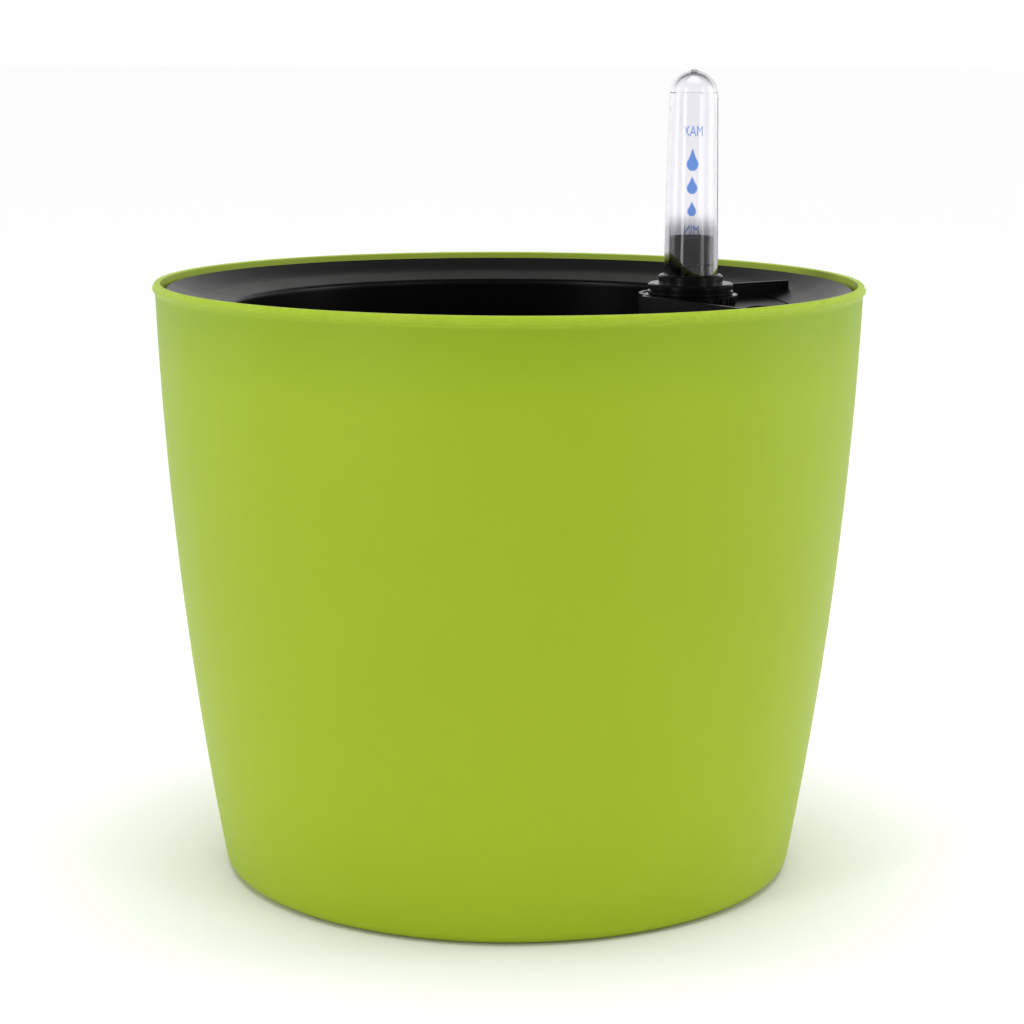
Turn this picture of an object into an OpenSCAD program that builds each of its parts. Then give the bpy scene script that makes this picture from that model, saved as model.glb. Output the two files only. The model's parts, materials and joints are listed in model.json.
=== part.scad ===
// Self-watering planter: a green outer pot that holds the water, a black inner liner that
// holds the soil, and a float gauge that stands in a filling shaft at one side of the liner.
// The origin is the centre of the pot's foot, on the surface it stands on. +Z is up, and the
// gauge stands on the +X side.

/* [Outer pot] */
// Diameter of the pot at its top, without the bead
pot_top_d = 260; // [252:1:300]
// Diameter of the pot at its foot, before the foot edge is rounded
pot_base_d = 213; // [208:1:220]
// Height of the pot
pot_h = 220; // [200:1:260]
// How far the side bows out of a straight line from foot to top
pot_bow = 4.1; // [2:0.1:8]
// Thickness of the pot's side
pot_wall = 2; // [1.8:0.1:2.6]
// Radius of the rounded foot edge
foot_round = 5.8; // [3:0.1:9]
// How far the bead round the top stands out from the side
bead_out = 1; // [0.5:0.1:2]
// Height of the bead
bead_h = 3.2; // [2.5:0.1:6]

/* [Reservoir] */
// Height of the liner's floor above the pot's floor, which is the depth of the reservoir
reservoir_h = 44; // [40:1:60]
// Distance of each wick leg from the middle of the pot
leg_at_r = 60; // [52:1:64]
// Diameter of the fibre wicks
wick_d = 15; // [10:0.5:18]

/* [Liner] */
// How far the liner's edge lies below the top of the pot
liner_drop = 2.2; // [1:0.1:6]
// Gap between the liner's edge and the inside of the pot
liner_gap = 2; // [1:0.1:3]
// Width of the liner's sloping rim, from its edge to the ledge
rim_w = 11.4; // [8:0.1:14]
// How far the sloping rim falls over that width
rim_fall = 4.5; // [3:0.1:7]
// Width of the ledge inside the sloping rim
ledge_w = 10.1; // [6:0.1:12]
// How far the ledge falls over that width
ledge_fall = 2.2; // [1:0.1:4]
// Thickness of the liner's side, floor and ledge
liner_wall = 2.2; // [1.8:0.1:3]
// Radius of the liner's floor, inside
liner_floor_r = 90; // [86:1:92]

/* [Filling shaft] */
// Distance of the gauge from the middle of the pot
gauge_at_x = 67.3; // [64:0.1:70]
// Distance of the shaft's two straight walls from the gauge's axis, to their inner faces
shaft_r = 21.5; // [21.4:0.1:23]
// Half of the angle between the shaft's two straight walls
shaft_half_angle = 43; // [36:1:46]
// How far the shaft's walls stand above the ledge's outer edge
rib_h = 3.2; // [2:0.1:5]
// Width of the filling slot in the tray, across the radius
slot_l = 33; // [24:1:34]
// Width of the filling slot along the radius
slot_w = 15; // [10:0.5:15]

/* [Gauge] */
// Diameter of the clear tube at its foot
tube_foot_d = 19.8; // [18:0.1:21]
// Diameter of the clear tube below its dome
tube_top_d = 17.9; // [17.2:0.1:18.5]
// Height of the clear tube above its collar, without the gate nipple
tube_h = 73.3; // [60:0.1:90]
// Thickness of the clear tube
tube_wall = 1.4; // [1:0.1:1.5]
// Diameter of the black spigot that the clear tube is pushed over
spigot_d = 16; // [14.4:0.1:16.2]
// Height of the spigot above the neck
spigot_h = 14; // [10:0.1:20]
// Diameter of the spigot's mouth, inside
spigot_bore_d = 12.6; // [10:0.1:13]
// Diameter of the hole in the gauge's body that the float's tip slides in
tip_bore_d = 7.8; // [7.2:0.1:8.6]
// Diameter of the gauge's upper disc
disc_d = 31; // [28:0.1:33]
// Diameter of the gauge's ribbed clamp ring
clamp_d = 34.2; // [33:0.1:34.4]
// Diameter of the guide tube that the float runs in
guide_d = 25.2; // [22:0.1:26]
// Height of the float
float_h = 22; // [16:1:26]
// How far the float rises from empty to full
float_travel = 41; // [30:1:42]

/* [Hidden] */
$fn = 96;

// Outer pot
pot_top_r = pot_top_d / 2;
pot_base_r = pot_base_d / 2;
foot_recess = 3;
foot_ring_w = 10;
pot_floor_t = 3;
pot_floor_z = foot_recess + pot_floor_t;
wall_steps = 24;
corner_steps = 8;
inner_round = 8;
side_chord = sqrt(pow(pot_top_r - pot_base_r, 2) + pow(pot_h, 2));
side_r = pow(side_chord, 2) / (8 * pot_bow) + pot_bow / 2;
side_x = (pot_top_r + pot_base_r) / 2 - (side_r - pot_bow) * pot_h / side_chord;
side_z = pot_h / 2 + (side_r - pot_bow) * (pot_top_r - pot_base_r) / side_chord;
foot_x = side_x + sqrt(pow(side_r - foot_round, 2) - pow(side_z - foot_round, 2));
foot_end_angle = atan2(foot_round - side_z, foot_x - side_x);
foot_top_z = foot_round + foot_round * sin(foot_end_angle);
bead_z = pot_h - bead_h;
drain_hole_r = 7;
drain_boss_r = 11;
drain_boss_h = 5;

// Liner
edge_z = pot_h - liner_drop;
edge_r = side_radius(edge_z) - pot_wall - liner_gap;
rim_r = edge_r - rim_w;
rim_z = edge_z - rim_fall;
ledge_r = rim_r - ledge_w;
ledge_z = rim_z - ledge_fall;
skirt_h = 6;
skirt_w = 1.6;
liner_floor_z = pot_floor_z + reservoir_h;
liner_floor_top = liner_floor_z + liner_wall;
liner_round = 6;
shoulder = 1.6;
leg_angles = [45, 135, 225, 315];
leg_wall = 2;
leg_slot_w = 5;
leg_slot_h = 20;
wick_above_floor = 13.8;
wick_foot_gap = 2;
vent_r = 3;
vent_ring_r = 32;

// Filling shaft
shaft_wall = 1.5;
shaft_bulge_in = 4.1;
shaft_seat = 1.5;
rib_z = rim_z + rib_h;
tray_gap = 0.25;
tray_t = 2.4;
tray_z = ledge_z - 0.4 - tray_t;
tray_top = tray_z + tray_t;
tray_r = ledge_r - 0.6;
slot_x = ledge_r - 2 - slot_w / 2;
boss_top = tray_top + 1.9;

// Drain grate
grate_gap = 2.3;
grate_t = 2.5;
grate_foot_h = 5.6;
grate_foot_r = 3;
grate_z = liner_floor_top + grate_foot_h;
grate_r = liner_side_r(grate_z) - grate_gap;
grate_hole_r = 2.5;
grate_rings = [22, 34, 46, 72, 80];
grate_foot_at_r = 80;
grate_foot_angles = [75, 115, 155, 205, 245, 285];
grate_web = 2.2;

// Gauge, from the tray upwards
guide_r = guide_d / 2;
guide_wall = 1.5;
guide_flange_r = 15.8;
guide_flange_t = 1.4;
guide_bottom = pot_floor_z + 3;
flange_top = boss_top + guide_flange_t;
gasket_t = 0.8;
gasket_top = flange_top + gasket_t;
clamp_r = clamp_d / 2;
clamp_z = boss_top + 0.4;
clamp_top = gasket_top + 1.3;
clamp_ribs = 36;
thread_r = 13;
disc_r = disc_d / 2;
disc_h = 4.1;
disc_top = clamp_top + disc_h;
neck_r = 11.7;
neck_h = 3.1;
neck_top = disc_top + neck_h;
spigot_r = spigot_d / 2;
spigot_top = neck_top + spigot_h;
mouth_r = spigot_bore_d / 2;
bore_r = tip_bore_d / 2;
plug_h = 9;
tube_foot_r = tube_foot_d / 2;
tube_top_r = tube_top_d / 2;
socket_depth = 1.2;
tube_z = neck_top - socket_depth;
dome_r = tube_top_r - 0.15;
dome_low = 1;
dome_z = neck_top + tube_h - dome_r;
seam_z = dome_z + dome_low;
inner_dome_r = dome_r - tube_wall;
inner_seam_r = sqrt(pow(inner_dome_r, 2) - pow(dome_low, 2));
nipple_r = 1.5;
nipple_h = 0.8;
seal_r = 0.5;
seal_z = neck_top + 4;
seal_ring_r = tube_inner_r(seal_z + seal_r) - seal_r;

// Float, at its lowest
clip_z = pot_floor_z + 6;
clip_r = 4.5;
clip_t = 2;
float_z = clip_z + clip_t;
float_r = guide_r - guide_wall - 0.8;
rod_r = 1.5;
rod_below = 0.6;
tip_r = 3.3;
tip_top = spigot_top - 3.4;
tip_l = 62;
tip_socket = 10;
guide_slot_w = 3;
guide_slot_z = pot_floor_z + 8;
guide_slot_h = float_travel + float_h;

// Radius of the pot's side at height z
function side_radius(z) = side_x + sqrt(pow(side_r, 2) - pow(z - side_z, 2));

// Inner radius of the liner's side at height z
function liner_side_r(z) = liner_floor_r
    + (ledge_r - shoulder - liner_floor_r) * (z - liner_floor_top) / (ledge_z - liner_floor_top);

// Inner radius of the clear tube at height z
function tube_inner_r(z) = tube_foot_r - tube_wall
    + (inner_seam_r - tube_foot_r + tube_wall) * (z - tube_z) / (seam_z - tube_z);

// Points along an arc in the profile plane, from angle a to angle b
function arc(x, z, r, a, b, steps) =
    [for (i = [0:steps]) let (t = a + (b - a) * i / steps) [x + r * cos(t), z + r * sin(t)]];

// Points up or down the pot's side, set in by d
function side_points(z_from, z_to, d) =
    [for (i = [0:wall_steps]) let (z = z_from + (z_to - z_from) * i / wall_steps)
        [side_radius(z) - d, z]];

module ring(r_out, r_in, z, h) {
    translate([0, 0, z])
        difference() {
            cylinder(r = r_out, h = h);
            translate([0, 0, -1]) cylinder(r = r_in, h = h + 2);
        }
}

// Plan of the filling shaft: two straight sides that open outwards from a short end, with a round
// bulge in the end for the gauge. r is the distance of the sides from the gauge's axis.
module shaft_plan(r) {
    reach = 90;
    side = [cos(shaft_half_angle), sin(shaft_half_angle)];
    out = [-sin(shaft_half_angle), cos(shaft_half_angle)];
    start = [gauge_at_x + r * out[0], r * out[1]];
    end = start + reach * side;
    translate([gauge_at_x, 0]) circle(r = r - shaft_bulge_in);
    polygon([start, end, [end[0], -end[1]], [start[0], -start[1]]]);
}

// Part of the shaft's plan that lies within radius limit of the pot's axis
module shaft_plan_within(r, limit) {
    intersection() {
        shaft_plan(r);
        circle(r = limit, $fn = 180);
    }
}

module outer_pot() {
    bead_r = side_radius(bead_z) + bead_out;
    bead_round = 1.2;
    bead_lean = 0.4;
    lip_round = 0.5;
    inner_r = side_radius(pot_h) - pot_wall;
    profile = concat(
        [[0, foot_recess], [foot_x - foot_ring_w - foot_recess, foot_recess], [foot_x - foot_ring_w, 0]],
        arc(foot_x, foot_round, foot_round, -90, foot_end_angle, corner_steps),
        side_points(foot_top_z + 1, bead_z - 0.8, 0),
        arc(bead_r - bead_round, bead_z + bead_round, bead_round, -70, 20, corner_steps),
        arc(bead_r - bead_round - bead_lean, pot_h - bead_round, bead_round, 20, 90, corner_steps),
        arc(inner_r + lip_round, pot_h - lip_round, lip_round, 90, 180, 4),
        side_points(pot_h - 2, pot_floor_z + inner_round, pot_wall),
        arc(side_radius(pot_floor_z + inner_round) - pot_wall - inner_round, pot_floor_z + inner_round,
            inner_round, -10, -90, corner_steps),
        [[0, pot_floor_z]]);
    color("yellowgreen")
        difference() {
            union() {
                rotate_extrude($fn = 180) polygon(profile);
                translate([0, 0, foot_recess + pot_floor_t / 2])
                    cylinder(r = drain_boss_r, h = pot_floor_t / 2 + drain_boss_h);
            }
            translate([0, 0, -1]) cylinder(r = drain_hole_r, h = pot_floor_z + drain_boss_h + 2);
        }
}

module drain_plug() {
    head_r = 11;
    head_z = 0.6;
    head_t = 1.4;
    coin_w = 2.4;
    color([0.1, 0.1, 0.11])
        difference() {
            union() {
                translate([0, 0, head_z]) cylinder(r = head_r, h = head_t);
                translate([0, 0, head_z]) cylinder(r = drain_hole_r - 0.1, h = pot_floor_z + drain_boss_h);
            }
            translate([-head_r - 1, -coin_w / 2, head_z - 1]) cube([2 * head_r + 2, coin_w, 1.7]);
            translate([0, 0, head_z + 2.4]) cylinder(r = drain_hole_r - 2.4, h = pot_floor_z + drain_boss_h);
        }
}

module plug_washer() {
    color([0.05, 0.05, 0.05]) ring(10.4, drain_hole_r, 2, foot_recess - 2);
}

module leg_positions() {
    for (a = leg_angles) rotate(a) translate([leg_at_r, 0, 0]) children();
}

module liner_shell() {
    side_out = liner_wall;
    profile = concat(
        [[0, liner_floor_z], [liner_floor_r - liner_round, liner_floor_z]],
        arc(liner_floor_r + side_out - liner_round, liner_floor_z + liner_round, liner_round, -90, -5, 6),
        [[ledge_r - shoulder + side_out, ledge_z - liner_wall - 1.2],
         [ledge_r - shoulder + side_out + 1.2, ledge_z - liner_wall],
         [rim_r + 0.6, rim_z - liner_wall],
         [edge_r - skirt_w, edge_z - liner_wall - 1],
         [edge_r - skirt_w, edge_z - skirt_h],
         [edge_r - 0.2, edge_z - skirt_h]],
        arc(edge_r - 0.5, edge_z - 0.5, 0.5, 0, 90, 3),
        [[edge_r - 1.2, edge_z - 0.3],
         [edge_r - 7, edge_z - 2.9],
         [rim_r + 2.2, rim_z + 0.7],
         [rim_r, rim_z],
         [ledge_r, ledge_z]],
        arc(ledge_r + 0.2, ledge_z - shoulder, shoulder, 100, 175, 4),
        arc(liner_floor_r - liner_round, liner_floor_top + liner_round, liner_round, -5, -90, 6),
        [[0, liner_floor_top]]);
    rotate_extrude($fn = 180) polygon(profile);
}

// Everything inside the liner's outer surface, up to the top of the shaft's walls
module liner_envelope() {
    rotate_extrude($fn = 180)
        polygon([[0, liner_floor_z], [liner_floor_r - liner_round, liner_floor_z],
            [liner_floor_r, liner_floor_z + liner_round], [ledge_r - shoulder + 1, ledge_z - liner_wall - 1],
            [rim_r + 0.8, rim_z - 1], [rim_r + 0.8, rib_z], [0, rib_z]]);
}

// Wall of the filling shaft from height z_from to z_to, with the inner face at radius r
module shaft_wall_ring(r, z_from, z_to) {
    translate([0, 0, z_from])
        linear_extrude(z_to - z_from)
            difference() {
                shaft_plan(shaft_r + shaft_wall);
                shaft_plan(r);
            }
}

module inner_liner() {
    color([0.13, 0.13, 0.14])
        difference() {
            union() {
                liner_shell();
                intersection() {
                    liner_envelope();
                    union() {
                        shaft_wall_ring(shaft_r - shaft_seat, liner_floor_z, tray_z);
                        shaft_wall_ring(shaft_r, tray_z, rib_z);
                    }
                }
                leg_positions()
                    translate([0, 0, pot_floor_z])
                        cylinder(r = wick_d / 2 + leg_wall, h = reservoir_h + liner_wall / 2);
            }
            // mouth of the shaft, down to the seat that carries the tray
            translate([0, 0, tray_z])
                linear_extrude(ledge_z - tray_z + 0.5) shaft_plan_within(shaft_r, ledge_r - 0.3);
            // open bottom of the shaft
            translate([0, 0, liner_floor_z - 1])
                linear_extrude(liner_wall + 2) shaft_plan_within(shaft_r - shaft_seat, liner_floor_r - 8);
            leg_positions() {
                translate([0, 0, pot_floor_z - 1]) cylinder(r = wick_d / 2, h = reservoir_h + liner_wall + 2);
                for (a = [0, 90])
                    rotate(a)
                        translate([-wick_d, -leg_slot_w / 2, pot_floor_z - 1])
                            cube([2 * wick_d, leg_slot_w, leg_slot_h + 1]);
            }
            for (a = [22.5:45:337.5])
                rotate(a)
                    translate([vent_ring_r, 0, liner_floor_z - 1]) cylinder(r = vent_r, h = liner_wall + 2);
        }
}

module fill_tray() {
    color([0.12, 0.12, 0.13])
        difference() {
            union() {
                translate([0, 0, tray_z])
                    linear_extrude(tray_t) shaft_plan_within(shaft_r - tray_gap, tray_r);
                translate([gauge_at_x, 0, tray_z]) cylinder(r = clamp_r - 0.6, h = boss_top - tray_z);
            }
            translate([gauge_at_x, 0, tray_z - 1]) cylinder(r = guide_r + 0.5, h = boss_top - tray_z + 2);
            for (y = [-1, 1])
                translate([slot_x, y * (slot_l - slot_w) / 2, tray_z - 1])
                    cylinder(r = slot_w / 2, h = tray_t + 2);
            translate([slot_x - slot_w / 2, -(slot_l - slot_w) / 2, tray_z - 1])
                cube([slot_w, slot_l - slot_w, tray_t + 2]);
        }
}

// True where a hole of radius r at [x, y] keeps clear of the shaft, the wicks and the feet
function grate_clear(x, y, r) =
    shaft_distance(x, abs(y)) > shaft_r + shaft_wall + 1.2 + r + grate_web
    && min([for (a = leg_angles) norm([x - leg_at_r * cos(a), y - leg_at_r * sin(a)])])
        > wick_d / 2 + 0.7 + r + grate_web
    && min([for (a = grate_foot_angles) norm([x - grate_foot_at_r * cos(a), y - grate_foot_at_r * sin(a)])])
        > grate_foot_r + r + 1;

// Distance from [x, y], y not negative, to the line from the gauge that runs along the shaft's side
function shaft_distance(x, y) =
    let (along = (x - gauge_at_x) * cos(shaft_half_angle) + y * sin(shaft_half_angle),
         across = y * cos(shaft_half_angle) - (x - gauge_at_x) * sin(shaft_half_angle))
    along < 0 ? norm([x - gauge_at_x, y]) : across;

// Plan of the grate: a disc that goes round the shaft and the wicks, with rings of drain holes
module grate_plan() {
    difference() {
        circle(r = grate_r, $fn = 180);
        shaft_plan(shaft_r + shaft_wall + 1.2);
        leg_positions() circle(r = wick_d / 2 + 0.7);
        circle(r = 8);
        for (ring_r = grate_rings)
            let (count = round(ring_r * 0.52 / 2) * 2)
                for (i = [0:count - 1])
                    let (a = 360 * (i + 0.5) / count, x = ring_r * cos(a), y = ring_r * sin(a))
                        if (grate_clear(x, y, grate_hole_r))
                            translate([x, y]) circle(r = grate_hole_r, $fn = 24);
    }
}

module drain_grate() {
    color([0.16, 0.16, 0.17])
        union() {
            translate([0, 0, grate_z]) linear_extrude(grate_t) grate_plan();
            for (a = grate_foot_angles)
                rotate(a)
                    translate([grate_foot_at_r, 0, liner_floor_top])
                        cylinder(r = grate_foot_r, h = grate_foot_h + grate_t / 2);
        }
}

module wick(angle) {
    color([0.86, 0.84, 0.78])
        rotate(angle)
            translate([leg_at_r, 0, pot_floor_z + wick_foot_gap])
                cylinder(r = wick_d / 2, h = reservoir_h + liner_wall + wick_above_floor - wick_foot_gap);
}

module wick_right_back() { wick(leg_angles[0]); }
module wick_left_back() { wick(leg_angles[1]); }
module wick_left_front() { wick(leg_angles[2]); }
module wick_right_front() { wick(leg_angles[3]); }

// Black body of the gauge: a plug in the guide tube, a disc, a neck and a spigot, with one bore
module gauge_body() {
    groove = 0.5;
    color([0.07, 0.07, 0.075])
        translate([gauge_at_x, 0, 0])
            rotate_extrude()
                polygon([[bore_r, gasket_top - plug_h], [guide_r - guide_wall - 0.1, gasket_top - plug_h],
                    [guide_r - guide_wall - 0.1, gasket_top], [thread_r - 0.1, gasket_top],
                    [thread_r - 0.1, clamp_top],
                    [disc_r - 0.3, clamp_top], [disc_r, clamp_top + 0.3], [disc_r, clamp_top + 1.3],
                    [disc_r - groove, clamp_top + 1.6], [disc_r - groove, clamp_top + 2.1],
                    [disc_r, clamp_top + 2.4], [disc_r, disc_top - 0.5], [disc_r - 0.5, disc_top],
                    [neck_r, disc_top], [neck_r, neck_top - 0.6], [neck_r - 0.6, neck_top],
                    [tube_foot_r + 0.1, neck_top], [tube_foot_r + 0.1, tube_z], [spigot_r, tube_z],
                    [spigot_r, seal_z - seal_r], [seal_ring_r - seal_r, seal_z - seal_r],
                    [seal_ring_r - seal_r, seal_z + seal_r], [spigot_r, seal_z + seal_r],
                    [spigot_r, spigot_top - 0.5], [spigot_r - 0.5, spigot_top],
                    [mouth_r + 0.4, spigot_top], [mouth_r, spigot_top - 0.4],
                    [mouth_r, disc_top + 1], [bore_r, disc_top - 1.2]]);
}

module clamp_ring() {
    rib_w = 1.1;
    color([0.09, 0.09, 0.095])
        translate([gauge_at_x, 0, 0])
            difference() {
                union() {
                    ring(clamp_r - 0.5, thread_r, clamp_z, clamp_top - clamp_z);
                    ring(clamp_r, clamp_r - 0.7, clamp_top - 0.9, 0.9);
                    for (i = [0:clamp_ribs - 1])
                        rotate(360 * i / clamp_ribs)
                            translate([clamp_r - 1.5, -rib_w / 2, clamp_z])
                                cube([1.35, rib_w, clamp_top - clamp_z - 0.4]);
                }
                translate([0, 0, clamp_z - 1]) cylinder(r = guide_flange_r + 0.1, h = gasket_top - clamp_z + 1.1);
            }
}

module gauge_gasket() {
    color([0.03, 0.03, 0.03])
        translate([gauge_at_x, 0, 0]) ring(guide_flange_r - 0.2, guide_r - guide_wall + 0.1, flange_top, gasket_t);
}

module tube_seal() {
    color([0.02, 0.02, 0.02])
        translate([gauge_at_x, 0, seal_z])
            rotate_extrude() translate([seal_ring_r, 0]) circle(r = seal_r, $fn = 24);
}

// Clear tube with a domed end, set in by a hair at the seam where the dome starts; the small
// nipple is the gate that it was moulded through
module sight_tube() {
    dome_steps = 16;
    nipple_steps = 5;
    seam_angle = asin(dome_low / dome_r);
    inner_seam_angle = asin(dome_low / inner_dome_r);
    nipple_z = dome_z + dome_r + nipple_h - nipple_r;
    nipple_root = acos(nipple_r / dome_r);
    color([0.85, 0.9, 0.93, 0.4])
        translate([gauge_at_x, 0, 0])
            rotate_extrude()
                polygon(concat(
                    [[tube_foot_r - tube_wall, tube_z], [tube_foot_r, tube_z], [tube_top_r, seam_z - 0.2]],
                    arc(0, dome_z, dome_r, seam_angle, nipple_root, dome_steps),
                    arc(0, nipple_z, nipple_r, 25, 90, nipple_steps),
                    arc(0, dome_z, inner_dome_r, 90, inner_seam_angle, dome_steps)));
}

module guide_tube() {
    vent_z = tray_z - 14;
    color([0.11, 0.11, 0.12])
        translate([gauge_at_x, 0, 0])
            difference() {
                union() {
                    ring(guide_r, guide_r - guide_wall, guide_bottom, flange_top - guide_bottom);
                    ring(guide_flange_r, guide_r - 0.5, boss_top, guide_flange_t);
                }
                for (a = [45, 135, 225, 315])
                    rotate(a) {
                        translate([guide_r - guide_wall - 2, -guide_slot_w / 2, guide_slot_z])
                            cube([guide_wall + 4, guide_slot_w, guide_slot_h]);
                        translate([guide_r - guide_wall - 2, 0, vent_z])
                            rotate([0, 90, 0]) cylinder(r = 2, h = guide_wall + 4, $fn = 32);
                    }
            }
}

module tube_strainer() {
    cap_t = 1.5;
    plug_up = 2.5;
    color([0.14, 0.14, 0.15])
        translate([gauge_at_x, 0, guide_bottom - cap_t])
            difference() {
                union() {
                    cylinder(r = guide_r, h = cap_t);
                    cylinder(r = guide_r - guide_wall - 0.05, h = cap_t + plug_up);
                }
                translate([0, 0, cap_t]) cylinder(r = guide_r - guide_wall - 1.6, h = plug_up + 1);
                translate([0, 0, -1]) cylinder(r = 1.5, h = cap_t + 2, $fn = 24);
                for (i = [0:7])
                    rotate(45 * i) translate([5.4, 0, -1]) cylinder(r = 1.4, h = cap_t + 2, $fn = 24);
            }
}

module float() {
    edge = 1.2;
    color([0.93, 0.93, 0.9])
        translate([gauge_at_x, 0, float_z])
            rotate_extrude()
                polygon([[rod_r, 0], [float_r - edge, 0], [float_r, edge], [float_r, float_h - edge],
                    [float_r - edge, float_h], [rod_r, float_h]]);
}

module float_rod() {
    color([0.9, 0.9, 0.88])
        translate([gauge_at_x, 0, clip_z - rod_below])
            cylinder(r = rod_r, h = tip_top - tip_l + tip_socket - clip_z + rod_below, $fn = 32);
}

module rod_tip() {
    end_round = 1;
    color([0.8, 0.06, 0.05])
        translate([gauge_at_x, 0, 0])
            rotate_extrude($fn = 48)
                polygon([[rod_r, tip_top - tip_l], [tip_r, tip_top - tip_l], [tip_r, tip_top - end_round],
                    [tip_r - end_round, tip_top], [0, tip_top], [0, tip_top - tip_l + tip_socket],
                    [rod_r, tip_top - tip_l + tip_socket]]);
}

module float_clip() {
    color([0.2, 0.2, 0.21]) translate([gauge_at_x, 0, 0]) ring(clip_r, rod_r, clip_z, clip_t);
}

outer_pot();
drain_plug();
plug_washer();
inner_liner();
fill_tray();
drain_grate();
wick_right_back();
wick_left_back();
wick_left_front();
wick_right_front();
gauge_body();
clamp_ring();
gauge_gasket();
tube_seal();
sight_tube();
guide_tube();
tube_strainer();
float();
float_rod();
rod_tip();
float_clip();
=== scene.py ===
"""Looks of a self-watering planter: green outer pot, black liner and a float gauge in a clear tube."""
import json
import math
import random

import bmesh
import bpy
from mathutils import Matrix, Vector


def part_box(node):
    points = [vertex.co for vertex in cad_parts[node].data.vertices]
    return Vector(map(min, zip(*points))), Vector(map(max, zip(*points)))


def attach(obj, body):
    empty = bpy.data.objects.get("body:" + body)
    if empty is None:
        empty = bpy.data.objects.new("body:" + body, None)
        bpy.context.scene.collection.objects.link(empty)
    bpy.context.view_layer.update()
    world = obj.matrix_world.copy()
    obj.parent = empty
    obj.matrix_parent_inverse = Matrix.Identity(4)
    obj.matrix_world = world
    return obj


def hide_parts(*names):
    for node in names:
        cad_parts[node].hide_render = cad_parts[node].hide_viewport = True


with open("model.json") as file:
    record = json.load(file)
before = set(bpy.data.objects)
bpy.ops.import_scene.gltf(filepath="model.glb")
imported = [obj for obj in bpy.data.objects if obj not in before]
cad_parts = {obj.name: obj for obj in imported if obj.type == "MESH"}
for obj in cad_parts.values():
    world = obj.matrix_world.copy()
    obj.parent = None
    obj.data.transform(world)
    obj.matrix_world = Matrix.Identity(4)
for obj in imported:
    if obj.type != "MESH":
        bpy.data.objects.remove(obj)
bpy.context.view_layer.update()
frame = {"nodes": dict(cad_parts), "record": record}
MM = 0.001
NODES = frame["nodes"]

# ---------------------------------------------------------------- places worked out from the frame
POT_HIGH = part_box("outer_pot")[1]
TUBE_LOW, TUBE_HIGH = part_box("sight_tube")
TRAY_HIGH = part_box("fill_tray")[1]
GAUGE_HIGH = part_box("gauge_body")[1]
GAUGE_AXIS = (TUBE_LOW + TUBE_HIGH) / 2
TUBE_FOOT_R = (TUBE_HIGH.x - TUBE_LOW.x) / 2


def from_gauge_axis(point):
    """Distance of a point from the gauge's axis."""
    return math.hypot(point.x - GAUGE_AXIS.x, point.y - GAUGE_AXIS.y)


TUBE_UPPER = [v.co for v in NODES["sight_tube"].data.vertices if v.co.z > GAUGE_AXIS.z]
TUBE_TOP_R = max(from_gauge_axis(p) for p in TUBE_UPPER)
TUBE_SEAM_Z = max(p.z for p in TUBE_UPPER if from_gauge_axis(p) > TUBE_TOP_R - 0.02 * MM)


def tube_radius(z):
    """Outer radius of the clear tube at height z."""
    share = (z - TUBE_LOW.z) / (TUBE_SEAM_Z - TUBE_LOW.z)
    return TUBE_FOOT_R + (TUBE_TOP_R - TUBE_FOOT_R) * share


# ---------------------------------------------------------------- camera
GAUGE_TURN = math.radians(10)      # the camera stands this far round from the pot's -Y side
CAMERA_AWAY = 0.9342               # level distance from the pot's axis
CAMERA_SIDE = 0.0014               # how far the lens axis passes beside the pot's axis
CAMERA_UP = 0.3042
CAMERA_PITCH = math.radians(10.41)
CAMERA_ROLL = 0.0043
CAMERA_LENS = 88.77


def make_camera():
    """The camera at the photograph's angle."""
    data = bpy.data.cameras.new("camera")
    data.sensor_width = 36
    data.lens = CAMERA_LENS
    data.clip_end = 50
    camera = bpy.data.objects.new("camera", data)
    bpy.context.scene.collection.objects.link(camera)
    place = Matrix.Translation((CAMERA_SIDE, -CAMERA_AWAY, CAMERA_UP))
    tilt = Matrix.Rotation(math.pi / 2 - CAMERA_PITCH, 4, "X")
    roll = Matrix.Rotation(CAMERA_ROLL, 4, "Z")
    camera.matrix_world = Matrix.Rotation(GAUGE_TURN, 4, "Z") @ place @ tilt @ roll
    bpy.context.scene.camera = camera


# ---------------------------------------------------------------- materials
def srgb(r, g, b):
    """Linear colour from 8-bit sRGB values."""
    def linear(v):
        v /= 255
        return v / 12.92 if v <= 0.04045 else ((v + 0.055) / 1.055) ** 2.4
    return (linear(r), linear(g), linear(b), 1)


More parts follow.
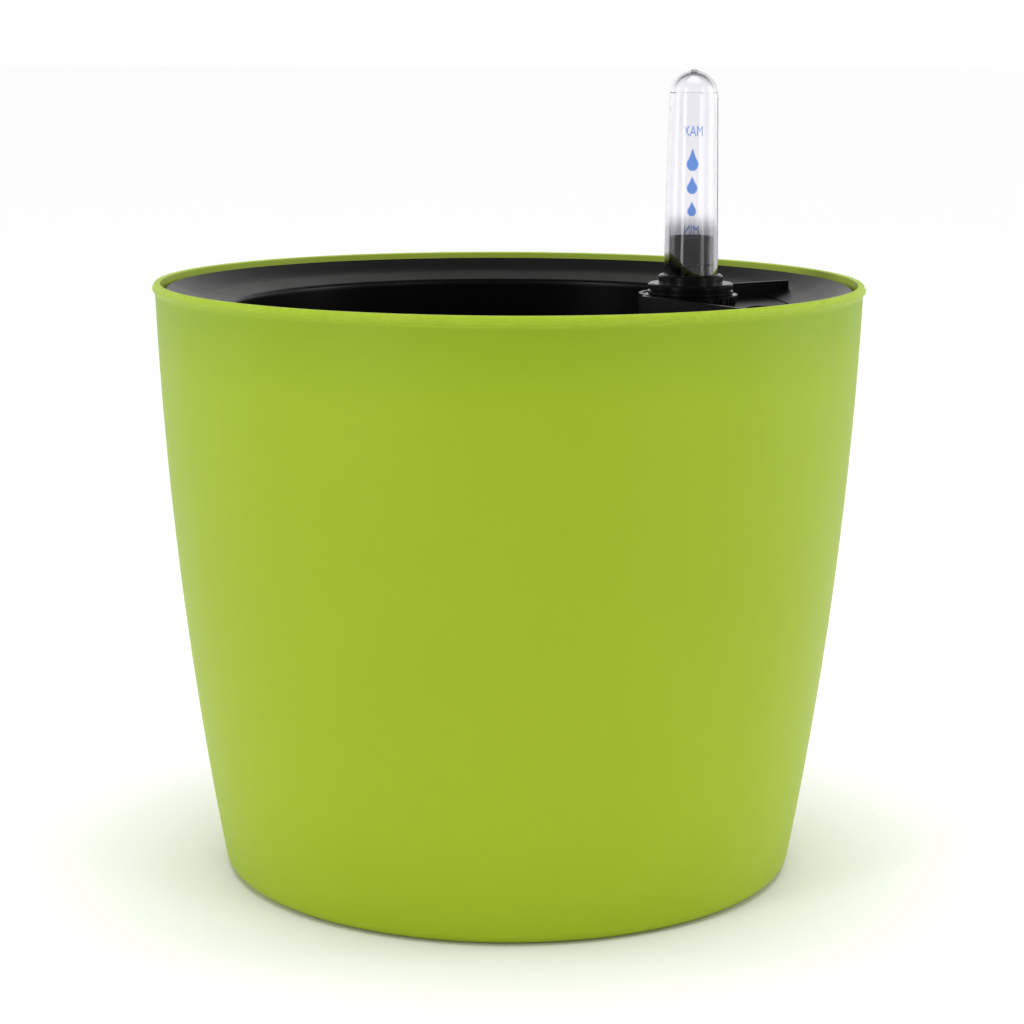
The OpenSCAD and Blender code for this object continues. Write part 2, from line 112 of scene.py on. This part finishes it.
class Nodes:
    """A short way to write a material's node tree."""

    def __init__(self, name):
        self.material = bpy.data.materials.new(name)
        self.material.use_nodes = True
        self.tree = self.material.node_tree
        self.tree.nodes.clear()
        self.shader = self.add("ShaderNodeBsdfPrincipled")
        output = self.add("ShaderNodeOutputMaterial")
        self.join(self.shader, "BSDF", output, "Surface")
        self.place = self.add("ShaderNodeTexCoord")

    def add(self, kind, **values):
        """A node with its unlinked inputs and its settings set by name."""
        node = self.tree.nodes.new(kind)
        for key, value in values.items():
            socket = node.inputs.get(key.replace("_", " "))
            if socket is not None and not hasattr(node, key):
                socket.default_value = value
            else:
                setattr(node, key, value)
        return node

    def join(self, start, output, end, socket):
        self.tree.links.new(start.outputs[output], end.inputs[socket])

    def set(self, **values):
        """Sets plain values on the shader's own sockets."""
        for key, value in values.items():
            self.shader.inputs[key.replace("_", " ")].default_value = value

    def mapped(self, scale):
        """Object coordinates, stretched by scale on each axis."""
        mapping = self.add("ShaderNodeMapping")
        mapping.inputs["Scale"].default_value = scale
        self.join(self.place, "Object", mapping, "Vector")
        return mapping

    def noise(self, scale, detail=2.0, roughness=0.5, stretch=(1, 1, 1)):
        """Noise over the object, in features per metre."""
        mapping = self.mapped(stretch)
        noise = self.add("ShaderNodeTexNoise", Scale=scale, Detail=detail, Roughness=roughness)
        self.join(mapping, "Vector", noise, "Vector")
        return noise

    def ramp(self, source, output, low, high, colours):
        """A colour ramp from colours[0] at low to colours[1] at high."""
        return self.stops(source, output, ((low, colours[0]), (high, colours[1])))

    def band(self, source, output, low, high, to_low=0.0, to_high=1.0):
        """Takes a node's output from low to high, held outside them, to to_low to to_high."""
        node = self.add("ShaderNodeMapRange")
        for socket, value in (("From Min", low), ("From Max", high), ("To Min", to_low), ("To Max", to_high)):
            node.inputs[socket].default_value = value
        self.join(source, output, node, "Value")
        return node

    def stops(self, source, output, stops):
        """A colour ramp through several (place, colour) stops."""
        ramp = self.add("ShaderNodeValToRGB")
        elements = ramp.color_ramp.elements
        while len(elements) < len(stops):
            elements.new(0.5)
        for element, (place, colour) in zip(elements, stops):
            element.position, element.color = place, colour
        self.join(source, output, ramp, "Fac")
        return ramp

    def mix(self, factor, output, colours):
        """A mix of two plain colours by a node's output."""
        mix = self.add("ShaderNodeMix", data_type="RGBA")
        mix.inputs["A"].default_value, mix.inputs["B"].default_value = colours
        self.join(factor, output, mix, "Factor")
        return mix

    def cover(self, under, output, colour, amount, amount_output):
        """A plain colour laid over a node's colour, as thickly as another node says."""
        mix = self.add("ShaderNodeMix", data_type="RGBA")
        mix.inputs["B"].default_value = colour
        self.join(amount, amount_output, mix, "Factor")
        self.join(under, output, mix, "A")
        return mix

    def height(self):
        """The object's coordinates apart, for its height on Z."""
        parts = self.add("ShaderNodeSeparateXYZ")
        self.join(self.place, "Object", parts, "Vector")
        return parts

    def inwards(self):
        """1 where a face looks towards the Z axis, 0 where it looks away from it."""
        outwards = self.add("ShaderNodeVectorMath", operation="NORMALIZE")
        self.join(self.mapped((1, 1, 0)), "Vector", outwards, 0)
        geometry = self.add("ShaderNodeNewGeometry")
        facing = self.add("ShaderNodeVectorMath", operation="DOT_PRODUCT")
        self.join(outwards, "Vector", facing, 0)
        self.join(geometry, "Normal", facing, 1)
        return self.band(facing, "Value", -0.2, -0.7)

    def range(self, source, output, low, high):
        """A node's 0 to 1 output stretched to low to high."""
        return self.band(source, output, 0, 1, low, high)

    def bump(self, source, output, strength, distance, under=None):
        """A bump from a node's output, on top of another bump."""
        bump = self.add("ShaderNodeBump", Strength=strength, Distance=distance)
        self.join(source, output, bump, "Height")
        if under is not None:
            self.join(under, "Normal", bump, "Normal")
        return bump


PAINTED_EDGE_HIGHLIGHT = srgb(92, 92, 98)      # pale grey painted on black plastic's top edge, a painted highlight
DULL_SHARE = 0.2                   # how much of its sheen dusty plastic keeps


def moulded_plastic(name, dark, light, roughness, grain=0.25, specular=0.5, dull_below=None, highlight_above=None):
    """Moulded plastic: fine spark-eroded grain, faint flow clouds and handling marks in the gloss.
    It's dull below one height, where it is dusty with soil, and above another its top edge is painted pale
    grey, a painted highlight."""
    n = Nodes(name)
    clouds = n.noise(14, detail=3, roughness=0.55)
    colour = n.ramp(clouds, "Fac", 0.3, 0.7, (dark, light))
    n.join(colour, "Color", n.shader, "Base Color")
    marks = n.noise(60, detail=5, roughness=0.65, stretch=(1, 1, 0.35))
    gloss = n.range(marks, "Fac", roughness - 0.07, roughness + 0.07)
    n.join(gloss, "Result", n.shader, "Roughness")
    fine = n.noise(1900, detail=2, roughness=0.6)
    wave = n.noise(22, detail=1)
    soft = n.bump(wave, "Fac", 0.12, 0.6 * MM)
    bump = n.bump(fine, "Fac", grain, 0.06 * MM, under=soft)
    n.join(bump, "Normal", n.shader, "Normal")
    n.set(Specular_IOR_Level=specular, IOR=1.49)
    if dull_below is not None:
        shine = n.band(n.height(), "Z", dull_below - 1 * MM, dull_below, DULL_SHARE * specular, specular)
        n.join(shine, "Result", n.shader, "Specular IOR Level")
    # painted highlight: pale grey painted on the top face above this height
    if highlight_above is not None:
        highlight_mask = n.band(n.height(), "Z", highlight_above - 0.1 * MM, highlight_above)
        highlighted = n.cover(colour, "Color", PAINTED_EDGE_HIGHLIGHT, highlight_mask, "Result")
        n.join(highlighted, "Result", n.shader, "Base Color")
    return n.material


POT_GREENS = (srgb(161, 188, 22), srgb(168, 195, 28))
# Painted highlight along the pot's rim lip, laid in patches
POT_RIM_HIGHLIGHT = srgb(176, 200, 66)
# Painted light on the pot's inward-facing faces, standing in for light coming through the plastic
POT_INSIDE_PAINTED_LIGHT = (0.43, 0.58, 0.06, 1)
# Painted shade: how much of the pot's colour is kept at shares of its height, painted darker towards the rim
POT_PAINTED_SHADE = ((0.2, (0.91, 0.89, 0.90, 1)), (0.41, (0.87, 0.85, 0.88, 1)), (0.68, (0.83, 0.83, 0.84, 1)),
              (0.86, (0.81, 0.82, 0.80, 1)), (0.96, (0.69, 0.74, 0.66, 1)))


def pot_plastic():
    """The outer pot: satin green, with painted shade darkening it towards the rim, a patchy painted highlight
    along the rim's lip and painted light on its inward-facing faces, standing in for light coming through the
    plastic.
    """
    n = Nodes("pot_green_plastic")
    clouds = n.noise(11, detail=4, roughness=0.6)
    body = n.mix(clouds, "Fac", POT_GREENS)
    height = n.height()
    level = n.band(height, "Z", 0, POT_HIGH.z)
    # painted shade by height, darkest just under the rim
    depth = n.stops(level, "Result", POT_PAINTED_SHADE)
    shade = n.add("ShaderNodeMix", data_type="RGBA", blend_type="MULTIPLY")
    shade.inputs["Factor"].default_value = 1
    n.join(body, "Result", shade, "A")
    n.join(depth, "Color", shade, "B")
    # painted highlight along the rim's lip, broken into patches by noise
    rim = n.band(height, "Z", POT_HIGH.z - 5 * MM, POT_HIGH.z - 0.5 * MM)
    highlight_patches = n.noise(420, detail=5, roughness=0.7)
    highlight_mask = n.add("ShaderNodeMath", operation="MULTIPLY")
    n.join(rim, "Result", highlight_mask, 0)
    n.join(highlight_patches, "Fac", highlight_mask, 1)
    highlighted = n.cover(shade, "Result", POT_RIM_HIGHLIGHT, highlight_mask, "Value")
    # painted light on the faces that look inwards
    glow = n.cover(highlighted, "Result", POT_INSIDE_PAINTED_LIGHT, n.inwards(), "Result")
    n.join(glow, "Result", n.shader, "Base Color")
    marks = n.noise(45, detail=5, roughness=0.6, stretch=(1, 1, 0.4))
    gloss = n.range(marks, "Fac", 0.42, 0.52)
    n.join(gloss, "Result", n.shader, "Roughness")
    wave = n.noise(18, detail=2)
    soft = n.bump(wave, "Fac", 0.1, 0.8 * MM)
    grain = n.noise(1500, detail=2, roughness=0.55)
    bump = n.bump(grain, "Fac", 0.3, 0.07 * MM, under=soft)
    n.join(bump, "Normal", n.shader, "Normal")
    n.set(IOR=1.5, Specular_IOR_Level=0.24)
    return n.material


PAINTED_SHADE_FROM = GAUGE_HIGH.z + 0.2 * MM   # height at which the painted shade on the clear tube is darkest, at the spigot's top
PAINTED_SHADE_TO = GAUGE_HIGH.z + 9.2 * MM  # height above which the painted shade ends and the tube looks clear
PAINTED_SHADE_STREAK = 0.004                # how far the edge of the painted shade wanders up and down
# Painted shade: the dark tint of the tube above the spigot
PAINTED_SHADE_TINT = (0.5, 0.49, 0.52, 1)
CLEAR_TINT = (0.935, 0.925, 0.955, 1)
GATE_CLEARNESS = 0.3               # how clear the cloudy moulding nipple on the dome is


def clear_plastic():
    """The sight tube: clear plastic with faint draw lines, with painted shade above the spigot where its dark
    inside shows through.
    """
    n = Nodes("tube_clear_plastic")
    height = n.height()
    streaks = n.noise(330, detail=3, roughness=0.6, stretch=(1, 1, 0.1))
    drift = n.range(streaks, "Fac", -PAINTED_SHADE_STREAK, PAINTED_SHADE_STREAK)
    place = n.add("ShaderNodeMath", operation="ADD")
    n.join(height, "Z", place, 0)
    n.join(drift, "Result", place, 1)
    # painted shade above the spigot, fading out upwards
    share = n.band(place, "Value", PAINTED_SHADE_FROM, PAINTED_SHADE_TO)
    tint = n.ramp(share, "Result", 0, 1, (PAINTED_SHADE_TINT, CLEAR_TINT))
    tint.color_ramp.interpolation = "EASE"
    n.join(tint, "Color", n.shader, "Base Color")
    bloom = n.noise(90, detail=3)
    gloss = n.range(bloom, "Fac", 0.015, 0.05)
    n.join(gloss, "Result", n.shader, "Roughness")
    lines = n.noise(260, detail=2, stretch=(1, 1, 0.06))
    bump = n.bump(lines, "Fac", 0.12, 0.12 * MM)
    n.join(bump, "Normal", n.shader, "Normal")
    gate = n.band(height, "Z", TUBE_HIGH.z - 0.9 * MM, TUBE_HIGH.z - 0.6 * MM, 1, GATE_CLEARNESS)
    n.join(gate, "Result", n.shader, "Transmission Weight")
    n.set(IOR=1.38)
    return n.material


def print_ink():
    """The printed scale: blue ink, laid a little unevenly, with a painted glow standing in for light shining
    through it from behind.
    """
    n = Nodes("scale_blue_ink")
    patches = n.noise(900, detail=4, roughness=0.6)
    colour = n.ramp(patches, "Fac", 0.3, 0.7, (srgb(92, 148, 224), srgb(116, 168, 236)))
    n.join(colour, "Color", n.shader, "Base Color")
    # painted light: the ink glows, standing in for light from behind
    n.set(Roughness=0.8, Emission_Color=srgb(84, 146, 232), Emission_Strength=0.6)
    bump = n.bump(patches, "Fac", 0.1, 0.02 * MM)
    n.join(bump, "Normal", n.shader, "Normal")
    return n.material


def rubber():
    """Black rubber with a dusty bloom."""
    n = Nodes("seal_black_rubber")
    bloom = n.noise(150, detail=5, roughness=0.7)
    colour = n.ramp(bloom, "Fac", 0.35, 0.75, (srgb(24, 24, 25), srgb(46, 46, 46)))
    n.join(colour, "Color", n.shader, "Base Color")
    gloss = n.range(bloom, "Fac", 0.6, 0.8)
    n.join(gloss, "Result", n.shader, "Roughness")
    grain = n.noise(2400, detail=2)
    bump = n.bump(grain, "Fac", 0.2, 0.05 * MM)
    n.join(bump, "Normal", n.shader, "Normal")
    return n.material


def wick_fibre():
    """Off-white cotton yarn: fine fibres along each strand, and tan where water has stained it."""
    n = Nodes("wick_cotton_fibre")
    stain = n.noise(70, detail=4, roughness=0.6)
    colour = n.ramp(stain, "Fac", 0.35, 0.75, (srgb(226, 218, 198), srgb(196, 180, 150)))
    n.join(colour, "Color", n.shader, "Base Color")
    fibres = n.noise(2600, detail=4, roughness=0.7, stretch=(1, 1, 0.16))
    bump = n.bump(fibres, "Fac", 0.7, 0.25 * MM)
    n.join(bump, "Normal", n.shader, "Normal")
    n.set(Roughness=0.92, Sheen_Weight=0.35, Sheen_Roughness=0.5)
    return n.material


def foam():
    """Closed-cell foam of the float: small cells and a matt skin."""
    n = Nodes("float_white_foam")
    cells = n.add("ShaderNodeTexVoronoi", Scale=900.0)
    n.join(n.mapped((1, 1, 1)), "Vector", cells, "Vector")
    tint = n.ramp(cells, "Distance", 0.1, 0.7, (srgb(236, 236, 230), srgb(216, 216, 208)))
    n.join(tint, "Color", n.shader, "Base Color")
    bump = n.bump(cells, "Distance", 0.4, 0.25 * MM)
    n.join(bump, "Normal", n.shader, "Normal")
    n.set(Roughness=0.75)
    return n.material


def make_materials():
    """One material for each of the record's slots, and the ink."""
    return {
        "pot_green": pot_plastic(),
        "liner_black": moulded_plastic(
            "liner_black_plastic", srgb(3, 3, 4), srgb(6, 6, 7), 0.34, grain=0.3, specular=0.25,
            dull_below=TRAY_HIGH.z - 3 * MM),
        "grate_black": moulded_plastic(
            "grate_black_plastic", srgb(14, 14, 15), srgb(20, 20, 21), 0.5, grain=0.4),
        "plug_black": moulded_plastic(
            "plug_black_plastic", srgb(14, 14, 15), srgb(20, 20, 21), 0.45, grain=0.4),
        # the spigot's top face carries the painted highlight
        "gauge_black": moulded_plastic(
            "gauge_black_plastic", srgb(5, 5, 6), srgb(8, 8, 9), 0.26, grain=0.12, specular=0.3,
            highlight_above=GAUGE_HIGH.z),
        "seal_rubber": rubber(),
        "wick_fibre": wick_fibre(),
        "tube_clear": clear_plastic(),
        "float_white": foam(),
        "rod_white": moulded_plastic(
            "rod_white_plastic", srgb(222, 222, 216), srgb(232, 232, 228), 0.3, grain=0.1),
        "tip_red": moulded_plastic(
            "tip_red_plastic", srgb(186, 22, 18), srgb(202, 30, 24), 0.25, grain=0.08),
        "ink": print_ink(),
    }


def dress_cad_nodes(materials):
    """Gives each carried-over CAD node the material of its slot."""
    for part in frame["record"]["subparts"]:
        mesh = NODES[part["node"]].data
        mesh.materials.clear()
        mesh.materials.append(materials[part["material_slot"]])


# ---------------------------------------------------------------- the printed scale
PRINT_LIFT = 0.04 * MM
PRINT_THICK = 0.03 * MM
PRINT_SPAN = 12 * MM               # width that is cut finely enough to bend round the tube
PRINT_CUTS = 40
PRINT_TURN = GAUGE_TURN + math.pi / 2 + math.radians(-3.9)   # the side of the tube that bears the print
DROP_ARC_STEPS = 28
DROP_FLANK_STEPS = 8
DROP_WAIST = 0.16                  # how far a drop's flanks are drawn in
# Middle's height above the spigot, length and width of each drop, in mm
DROPS = ((27.1, 8.2, 4.8), (17.8, 6.4, 4.3), (9.2, 5.4, 3.6))
# Word, middle's height above the spigot, height and width of each mark, in mm
MARKS = (("MAX", 37.5, 3.7, 8.2), ("MIN", 1.5, 3.5, 6.0))


def drop_outline(length, width):
    """A drop's outline, round below and running to a point above, centred on the origin."""
    radius = width / 2
    low = -length / 2 + radius
    tip = length / 2
    lean = math.asin(radius / (tip - low))
    points = []
    for i in range(DROP_ARC_STEPS + 1):
        angle = lean + (-math.pi - 2 * lean) * i / DROP_ARC_STEPS
        points.append((radius * math.cos(angle), low + radius * math.sin(angle)))
    flank = []
    for i in range(1, DROP_FLANK_STEPS):
        share = i / DROP_FLANK_STEPS
        bow = 1 - DROP_WAIST * math.sin(math.pi * share)
        flank.append((points[-1][0] * (1 - share) * bow, points[-1][1] + (tip - points[-1][1]) * share))
    mirrored = [(-x, y) for x, y in reversed(flank)]
    return points + flank + [(0, tip)] + mirrored


def flat_mesh_from_outline(points):
    """A flat filled mesh in the XY plane."""
    mesh = bmesh.new()
    ring = [mesh.verts.new((x, y, 0)) for x, y in points]
    mesh.faces.new(ring)
    return mesh


def flat_mesh_from_word(word, height, width):
    """A word as a flat mesh in the XY plane, scaled to its height and width and centred."""
    curve = bpy.data.curves.new(word, "FONT")
    curve.body = word
    curve.resolution_u = 6
    text = bpy.data.objects.new(word, curve)
    bpy.context.scene.collection.objects.link(text)
    bpy.context.view_layer.update()
    data = bpy.data.meshes.new_from_object(text)
    bpy.data.objects.remove(text)
    bpy.data.curves.remove(curve)
    mesh = bmesh.new()
    mesh.from_mesh(data)
    bpy.data.meshes.remove(data)
    low = Vector((min(v.co.x for v in mesh.verts), min(v.co.y for v in mesh.verts)))
    high = Vector((max(v.co.x for v in mesh.verts), max(v.co.y for v in mesh.verts)))
    for v in mesh.verts:
        v.co.x = ((v.co.x - low.x) / (high.x - low.x) - 0.5) * width
        v.co.y = ((v.co.y - low.y) / (high.y - low.y) - 0.5) * height
        v.co.z = 0
    return mesh


def wrap_on_tube(mesh, middle_z):
    """Cuts a flat print finely and lays it on the tube's outside."""
    for cut in range(1, PRINT_CUTS):
        place = (cut / PRINT_CUTS - 0.5) * PRINT_SPAN
        geometry = mesh.verts[:] + mesh.edges[:] + mesh.faces[:]
        bmesh.ops.bisect_plane(mesh, geom=geometry, plane_co=(place, 0, 0), plane_no=(1, 0, 0))
    bmesh.ops.triangulate(mesh, faces=mesh.faces[:])
    for v in mesh.verts:
        z = middle_z + v.co.y
        radius = tube_radius(z) + PRINT_LIFT
        angle = PRINT_TURN + v.co.x / radius
        v.co = (GAUGE_AXIS.x + radius * math.cos(angle), GAUGE_AXIS.y + radius * math.sin(angle), z)
    bmesh.ops.recalc_face_normals(mesh, faces=mesh.faces[:])


def make_print(material):
    """Three drops and two generic level marks, printed on the far side of the tube."""
    prints = []
    for number, (z, length, width) in enumerate(DROPS, start=1):
        outline = drop_outline(length * MM, width * MM)
        prints.append((f"scale_drop_{number}", z, flat_mesh_from_outline(outline)))
    for word, z, height, width in MARKS:
        prints.append((f"scale_mark_{word.lower()}", z, flat_mesh_from_word(word, height * MM, width * MM)))
    for name, z, flat in prints:
        wrap_on_tube(flat, GAUGE_HIGH.z + z * MM)
        data = bpy.data.meshes.new(name)
        flat.to_mesh(data)
        flat.free()
        data.materials.append(material)
        piece = bpy.data.objects.new(name, data)
        bpy.context.scene.collection.objects.link(piece)
        body = piece.modifiers.new("ink_body", "SOLIDIFY")
        body.thickness = PRINT_THICK
        body.offset = 0
        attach(piece, "gauge")


# ---------------------------------------------------------------- wicks
WICKS = ("wick_right_back", "wick_left_back", "wick_left_front", "wick_right_front")
STRANDS_OUT, STRANDS_IN = 9, 4
STRAND_STEPS = 44
STRAND_SIDES = 10
WICK_TURNS = 1.6
SQUASH = 1.12                      # how much thicker the strands are than if they only touched
INNER_RING, INNER_STRAND = 0.27, 0.3   # the inner strands' ring and radius, as shares of the wick's radius
STRAND_LUMP = 0.05
ROUNDED_TOP, ROUNDED_FOOT = 0.05, 0.03   # shares of a strand's length over which its ends close in
END_SIZE = 0.35                    # a strand's size at its very ends


def strand_rings(low, high, centre, ring_r, strand_r, start, rng):
    """Rings of points along one twisted, slightly lumpy strand with rounded ends."""
    rings = []
    for step in range(STRAND_STEPS + 1):
        share = step / STRAND_STEPS
        z = low + (high - low) * share
        turn = start + 2 * math.pi * WICK_TURNS * share
        middle = Vector((centre.x + ring_r * math.cos(turn), centre.y + ring_r * math.sin(turn), z))
        end = min(1, (1 - share) / ROUNDED_TOP, share / ROUNDED_FOOT)
        size = strand_r * (END_SIZE + (1 - END_SIZE) * math.sqrt(max(0, 1 - (1 - end) ** 2)))
        points = []
        for side in range(STRAND_SIDES):
            angle = 2 * math.pi * side / STRAND_SIDES + turn
            lump = 1 + STRAND_LUMP * (math.sin(3 * angle + 14 * share) - rng.random())
            points.append(middle + Vector((math.cos(angle), math.sin(angle), 0)) * size * lump)
        rings.append(points)
    return rings


def skin_rings(mesh, rings):
    """Joins rings of points into a closed tube."""
    made = [[mesh.verts.new(p) for p in ring] for ring in rings]
    count = len(made[0])
    for a, b in zip(made, made[1:]):
        for i in range(count):
            j = (i + 1) % count
            mesh.faces.new((a[i], a[j], b[j], b[i]))
    mesh.faces.new(list(reversed(made[0])))
    mesh.faces.new(made[-1])


def make_wick(node, material, rng):
    """A wick as a rope of twisted cotton strands, in the space of its CAD node."""
    low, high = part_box(node)
    centre = (low + high) / 2
    radius = (high.x - low.x) / 2
    half_step = math.sin(math.pi / STRANDS_OUT)
    strand_r = radius * half_step / (1 + half_step) * SQUASH
    mesh = bmesh.new()
    for number in range(STRANDS_OUT):
        start = 2 * math.pi * number / STRANDS_OUT + rng.random() * 0.1
        top = high.z - rng.random() * 1.2 * MM
        rings = strand_rings(low.z, top, centre, radius - strand_r, strand_r, start, rng)
        skin_rings(mesh, rings)
    for number in range(STRANDS_IN):
        start = 2 * math.pi * number / STRANDS_IN + rng.random() * 0.2
        top = high.z - rng.random() * 0.8 * MM
        rings = strand_rings(low.z, top, centre, radius * INNER_RING, radius * INNER_STRAND, start, rng)
        skin_rings(mesh, rings)
    data = bpy.data.meshes.new(node + "_rope")
    mesh.to_mesh(data)
    mesh.free()
    for face in data.polygons:
        face.use_smooth = True
    data.materials.append(material)
    piece = bpy.data.objects.new(node + "_rope", data)
    bpy.context.scene.collection.objects.link(piece)
    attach(piece, "liner")
    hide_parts(node)


# ---------------------------------------------------------------- studio
FLOOR_HALF = 40.0
ZENITH = 0.15                      # brightness of the room overhead, against its walls
WALL_TOP, ROOF = 0.12, 0.6         # the sines of the heights between which the walls darken into the roof
FRONT_WALL = 0.32                  # brightness of the wall behind the camera
BACK_WALL = 1.08                   # brightness of the backdrop
FRONT_END, BACK_END = -0.6, 0.7    # the directions, towards the backdrop, at which each of them is reached
OVERHEAD = 2.7
OVERHEAD_ANGLE = math.radians(50)
LIGHT_AIM = Vector((0, 0, 0.12))
PANELS = (                         # name, place, size and power of each panel, seen from the camera
    ("left_strip", (-1.02, -1.1, 0.55), (0.3, 1.3), 6.5),
    ("right_strip", (1.1, -1.0, 0.55), (0.35, 1.3), 4),
    ("left_light", (-1.5, 0.1, 0.5), (0.5, 1.2), 3.2),
    ("right_light", (1.5, 0.1, 0.5), (0.5, 1.2), 5.4),
)


def make_floor():
    """A plain pale floor that runs far past the view."""
    data = bpy.data.meshes.new("floor")
    corners = [(-FLOOR_HALF, -FLOOR_HALF, 0), (FLOOR_HALF, -FLOOR_HALF, 0),
               (FLOOR_HALF, FLOOR_HALF, 0), (-FLOOR_HALF, FLOOR_HALF, 0)]
    data.from_pydata(corners, [], [(0, 1, 2, 3)])
    n = Nodes("floor_pale")
    n.set(Base_Color=(0.95, 0.95, 0.95, 1), Roughness=0.9, Specular_IOR_Level=0.1)
    data.materials.append(n.material)
    floor = bpy.data.objects.new("floor", data)
    bpy.context.scene.collection.objects.link(floor)


def make_panel(name, place, size, power):
    """A soft rectangular light that faces the planter."""
    data = bpy.data.lights.new(name, "AREA")
    data.shape = "RECTANGLE"
    data.size, data.size_y = size
    data.energy = power
    light = bpy.data.objects.new(name, data)
    turned = Matrix.Rotation(GAUGE_TURN, 4, "Z") @ Vector(place)
    aim = LIGHT_AIM - turned
    light.location = turned
    light.rotation_mode = "QUATERNION"
    light.rotation_quaternion = aim.to_track_quat("-Z", "Y")
    bpy.context.scene.collection.objects.link(light)


def make_world():
    """A white room: a bright backdrop, a dimmer wall behind the camera and a dark roof."""
    world = bpy.data.worlds.new("studio")
    world.use_nodes = True
    tree = world.node_tree
    background = tree.nodes["Background"]
    background.inputs["Color"].default_value = (1, 1, 1, 1)
    way = tree.nodes.new("ShaderNodeTexCoord")
    turned = tree.nodes.new("ShaderNodeMapping")
    turned.inputs["Rotation"].default_value = (0, 0, -GAUGE_TURN)
    parts = tree.nodes.new("ShaderNodeSeparateXYZ")
    height = tree.nodes.new("ShaderNodeValToRGB")
    low, high = height.color_ramp.elements
    low.position, low.color = WALL_TOP, (1, 1, 1, 1)
    high.position, high.color = ROOF, (ZENITH, ZENITH, ZENITH, 1)
    depth = tree.nodes.new("ShaderNodeMapRange")
    depth.inputs["From Min"].default_value = FRONT_END
    depth.inputs["From Max"].default_value = BACK_END
    depth.inputs["To Min"].default_value = FRONT_WALL
    depth.inputs["To Max"].default_value = BACK_WALL
    light = tree.nodes.new("ShaderNodeMath")
    light.operation = "MULTIPLY"
    tree.links.new(way.outputs["Generated"], turned.inputs["Vector"])
    tree.links.new(turned.outputs["Vector"], parts.inputs["Vector"])
    tree.links.new(parts.outputs["Z"], height.inputs["Fac"])
    tree.links.new(parts.outputs["Y"], depth.inputs["Value"])
    tree.links.new(height.outputs["Color"], light.inputs[0])
    tree.links.new(depth.outputs["Result"], light.inputs[1])
    tree.links.new(light.outputs["Value"], background.inputs["Strength"])
    bpy.context.scene.world = world


def make_overhead():
    """A very soft light from straight above, which isn't mirrored in the clear dome."""
    data = bpy.data.lights.new("overhead", "SUN")
    data.energy = OVERHEAD
    data.angle = OVERHEAD_ANGLE
    overhead = bpy.data.objects.new("overhead", data)
    overhead.location = (0, 0, 2)
    overhead.visible_glossy = False
    bpy.context.scene.collection.objects.link(overhead)


def make_studio():
    """The room, the light overhead, and two panels at each side."""
    make_world()
    make_overhead()
    for name, place, size, power in PANELS:
        make_panel(name, place, size, power)
    bpy.context.scene.view_settings.view_transform = "Standard"
    bpy.context.scene.view_settings.look = "None"


make_camera()
MATERIALS = make_materials()
dress_cad_nodes(MATERIALS)
make_print(MATERIALS["ink"])
for wick_number, wick_node in enumerate(WICKS):
    make_wick(wick_node, MATERIALS["wick_fibre"], random.Random(31 + wick_number))
make_floor()
make_studio()
